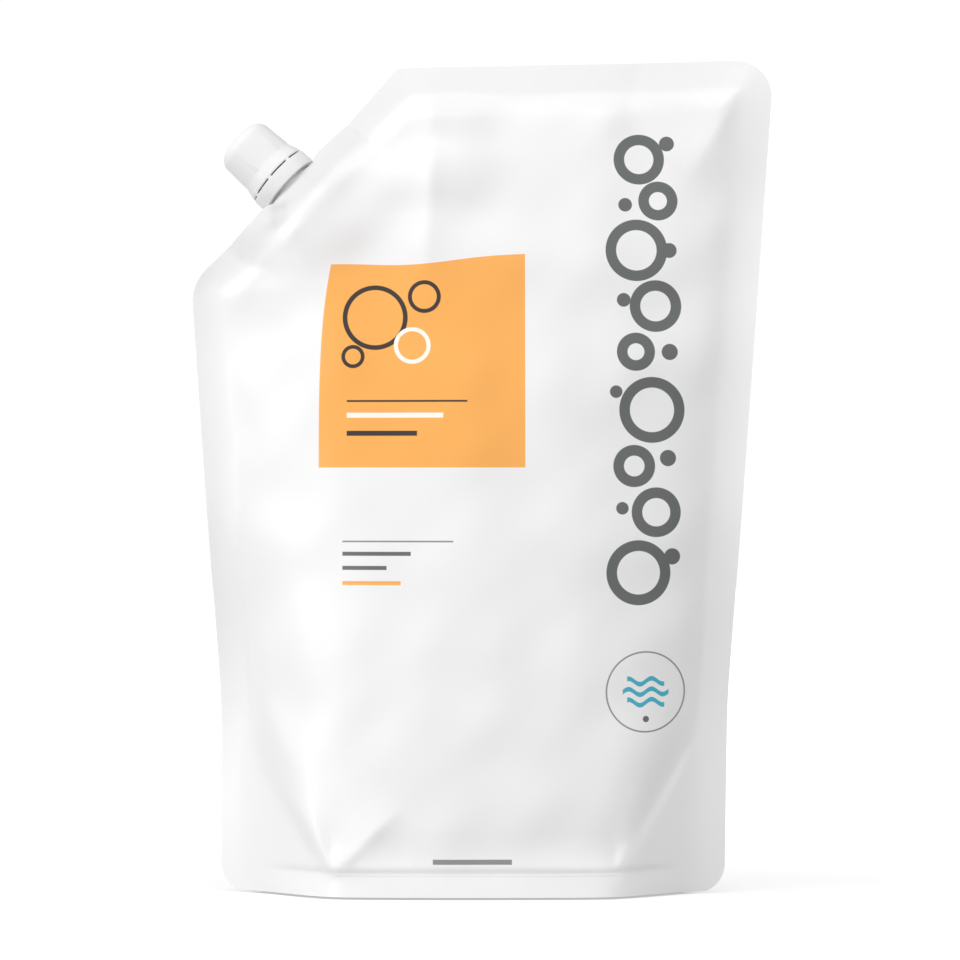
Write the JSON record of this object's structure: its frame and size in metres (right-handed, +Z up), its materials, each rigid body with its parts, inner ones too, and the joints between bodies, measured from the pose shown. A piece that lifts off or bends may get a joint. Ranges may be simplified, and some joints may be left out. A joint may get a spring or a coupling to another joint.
{
  "type": "liquid soap refill pouch",
  "caption": "Stand-up film pouch with a folded base, a cut shoulder and a corner spout closed by a screw cap over a tamper band",
  "frame": {"origin": "on the floor under the middle of the pack's overall box", "axes": "+Z up, -Y out of the printed front, +X to the right of the front; the spout is at upper left"},
  "size_m": [0.1858, 0.0696, 0.267],
  "materials": {
    "film": "satin white laminated film",
    "moulding": "moulded white polyethylene",
    "closure": "moulded white polypropylene",
    "liner": "soft foamed plastic"
  },
  "bodies": {
    "pouch": {"pouch": "film", "spout": "moulding", "tamper_band": "closure"},
    "liner": {"cap_liner": "liner"},
    "cap": {"cap": "closure"}
  },
  "joints": [
    {"name": "cap_lift", "type": "slide", "parent": "pouch", "child": "liner", "axis": [-0.7339, 0.1309, 0.6665], "range_m": [0, 0.0046]},
    {"name": "cap_turn", "type": "hinge", "parent": "liner", "child": "cap", "pos_m": [-0.06113, 0.01124, 0.22556], "axis": [-0.7339, 0.1309, 0.6665], "range_deg": [0, 540]}
  ],
  "couplings": [
    {"joint": "cap_lift", "follows": "cap_turn", "m_per_rad": 0.00047746}
  ]
}
